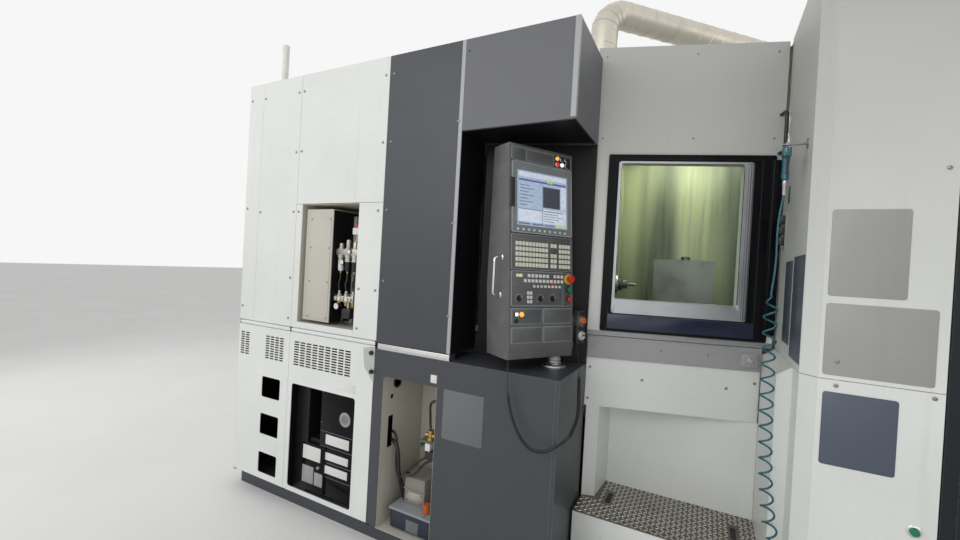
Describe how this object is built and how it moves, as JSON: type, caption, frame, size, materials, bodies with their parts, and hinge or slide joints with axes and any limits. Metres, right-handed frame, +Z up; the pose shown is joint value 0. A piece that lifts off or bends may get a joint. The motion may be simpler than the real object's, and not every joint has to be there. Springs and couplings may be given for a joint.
{
  "type": "cnc machining center",
  "caption": "Horizontal machining centre with a sliding operator door, a swivelling console, a travelling column spindle, a rotary table and a swing pallet changer.",
  "frame": {"origin": "on the floor under the middle of the machine's depth, at the bed's underside", "axes": "+X along the spindle from the cabinets to the pallet station, +Y from the operator side to the rear, +Z up"},
  "size_m": [5.3989, 3.064, 3.5779],
  "materials": {
    "white_paint": "satin",
    "dark_paint": "satin",
    "grey_paint": "satin",
    "black_paint": "gloss",
    "beige_paint": "satin",
    "blue_tank_paint": "satin",
    "casting": "painted",
    "machined_steel": "machined",
    "duct_metal": "spiral folded",
    "tread_metal": "worn",
    "fitting_metal": "die cast",
    "window_glass": "clear",
    "trim_white": "satin",
    "panel_plastic": "fine texture",
    "black_plastic": "fine texture",
    "key_plastic": "matte",
    "red_plastic": "gloss",
    "green_plastic": "gloss",
    "orange_plastic": "gloss",
    "hose_plastic": "gloss",
    "cord_rubber": "matte"
  },
  "bodies": {
    "frame": {"bed": "casting", "frame_uprights": "dark_paint", "outer_covers": "white_paint", "cabinet_panels": "white_paint", "dark_panels": "dark_paint", "hood": "dark_paint", "edge_trims": "trim_white", "niche_back": "black_paint", "lower_panels": "white_paint", "air_bay": "beige_paint", "air_unit": "fitting_metal", "cooler_unit": "black_paint", "pump_bay": "beige_paint", "coolant_pump": "blue_tank_paint", "pedestal": "dark_paint", "sign_plates": "grey_paint", "swivel_base": "dark_paint", "sill": "grey_paint", "splash_panel": "white_paint", "lower_wall": "white_paint", "step": "tread_metal", "station_upper_cover": "white_paint", "station_lower_cover": "white_paint", "station_right_cover": "white_paint", "chamber_walls": "grey_paint", "signal_lamp": "duct_metal", "extraction_duct": "duct_metal", "door_rail": "machined_steel", "air_gun": "hose_plastic", "air_hose": "hose_plastic", "air_coil": "hose_plastic", "air_fitting": "machined_steel"},
    "door": {"door_leaf": "white_paint", "door_glass": "window_glass", "door_handle": "black_plastic"},
    "gun_lever": {"gun_trigger": "black_plastic"},
    "console": {"console_body": "dark_paint", "console_panels": "panel_plastic", "console_keys": "key_plastic", "pendant": "black_plastic", "pendant_cord": "cord_rubber"},
    "stop_head": {"stop_button": "red_plastic"},
    "start_head": {"start_button": "green_plastic"},
    "hold_head": {"hold_button": "red_plastic"},
    "spindle_switch": {"spindle_knob": "black_plastic"},
    "rapid_switch": {"rapid_knob": "black_plastic"},
    "feed_switch": {"feed_knob": "black_plastic"},
    "hand_wheel": {"pendant_wheel": "machined_steel"},
    "pendant_stop_head": {"pendant_stop": "orange_plastic"},
    "column_unit": {"column": "casting"},
    "head_unit": {"spindle_head": "casting"},
    "spindle_unit": {"spindle": "machined_steel"},
    "saddle_unit": {"table_saddle": "casting"},
    "table_unit": {"rotary_table": "machined_steel", "work_pallet": "machined_steel"},
    "changer_lift_unit": {"changer_post": "machined_steel"},
    "changer_swing_unit": {"changer_arm": "casting", "setup_pallet": "machined_steel"},
    "left_station_door": {"station_door_left": "dark_paint"},
    "right_station_door": {"station_door_right": "dark_paint"}
  },
  "joints": [
    {"name": "door_slide", "type": "slide", "parent": "frame", "child": "door", "axis": [-0.9563, -0.2924, 0], "range_m": [0, 0.8]},
    {"name": "gun_press", "type": "hinge", "parent": "frame", "child": "gun_lever", "pos_m": [0.752, -1.3385, 2.1987], "axis": [1, 0, 0], "range_deg": [0, 8], "stiffness_Nm_per_rad": 0.5},
    {"name": "console_swivel", "type": "hinge", "parent": "frame", "child": "console", "pos_m": [-0.23, -1.197, 1.191], "axis": [0, 0, 1], "range_deg": [-10, 30], "deforming": ["pendant_cord"]},
    {"name": "stop_press", "type": "slide", "parent": "console", "child": "stop_head", "axis": [-0.8418, 0.5322, -0.0906], "range_m": [0, 0.006], "stiffness_N_per_m": 400},
    {"name": "start_press", "type": "slide", "parent": "console", "child": "start_head", "axis": [-0.8418, 0.5322, -0.0906], "range_m": [0, 0.003], "stiffness_N_per_m": 400},
    {"name": "hold_press", "type": "slide", "parent": "console", "child": "hold_head", "axis": [-0.8418, 0.5322, -0.0906], "range_m": [0, 0.003], "stiffness_N_per_m": 400},
    {"name": "spindle_override", "type": "hinge", "parent": "console", "child": "spindle_switch", "pos_m": [-0.3377, -1.48384, 1.52819], "axis": [0.8418, -0.5322, 0.0906], "range_deg": [-130, 130]},
    {"name": "rapid_override", "type": "hinge", "parent": "console", "child": "rapid_switch", "pos_m": [-0.26609, -1.37057, 1.52819], "axis": [0.8418, -0.5322, 0.0906], "range_deg": [-130, 130]},
    {"name": "feed_override", "type": "hinge", "parent": "console", "child": "feed_switch", "pos_m": [-0.22441, -1.30464, 1.52819], "axis": [0.8418, -0.5322, 0.0906], "range_deg": [-130, 130]},
    {"name": "handwheel_turn", "type": "hinge", "parent": "console", "child": "hand_wheel", "pos_m": [-0.09702, -1.16631, 1.335], "axis": [0.8453, -0.5344, 0], "continuous": true},
    {"name": "pendant_stop_press", "type": "slide", "parent": "console", "child": "pendant_stop_head", "axis": [-0.8453, 0.5344, 0], "range_m": [0, 0.004], "stiffness_N_per_m": 400},
    {"name": "column_y", "type": "slide", "parent": "frame", "child": "column_unit", "axis": [0, 1, 0], "range_m": [-0.4, 0.4]},
    {"name": "head_z", "type": "slide", "parent": "column_unit", "child": "head_unit", "axis": [0, 0, 1], "range_m": [-0.35, 0.35]},
    {"name": "spindle_spin", "type": "hinge", "parent": "head_unit", "child": "spindle_unit", "pos_m": [-0.4, 0, 1.6], "axis": [1, 0, 0], "continuous": true},
    {"name": "table_x", "type": "slide", "parent": "frame", "child": "saddle_unit", "axis": [-1, 0, 0], "range_m": [-0.68, 0.04]},
    {"name": "table_turn", "type": "hinge", "parent": "saddle_unit", "child": "table_unit", "pos_m": [0.34, 0, 0.846], "axis": [0, 0, 1], "continuous": true},
    {"name": "changer_lift", "type": "slide", "parent": "frame", "child": "changer_lift_unit", "axis": [0, 0, 1], "range_m": [0, 0.08]},
    {"name": "changer_swing", "type": "hinge", "parent": "changer_lift_unit", "child": "changer_swing_unit", "pos_m": [1.72, 0, 0.99], "axis": [0, 0, 1], "range_deg": [0, 180]},
    {"name": "left_door_swing", "type": "hinge", "parent": "frame", "child": "left_station_door", "pos_m": [1.23688, -1.473, 1.5], "axis": [0, 0, 1], "range_deg": [-100, 0]},
    {"name": "right_door_swing", "type": "hinge", "parent": "frame", "child": "right_station_door", "pos_m": [2.48588, -1.473, 1.5], "axis": [0, 0, 1], "range_deg": [0, 100]}
  ]
}
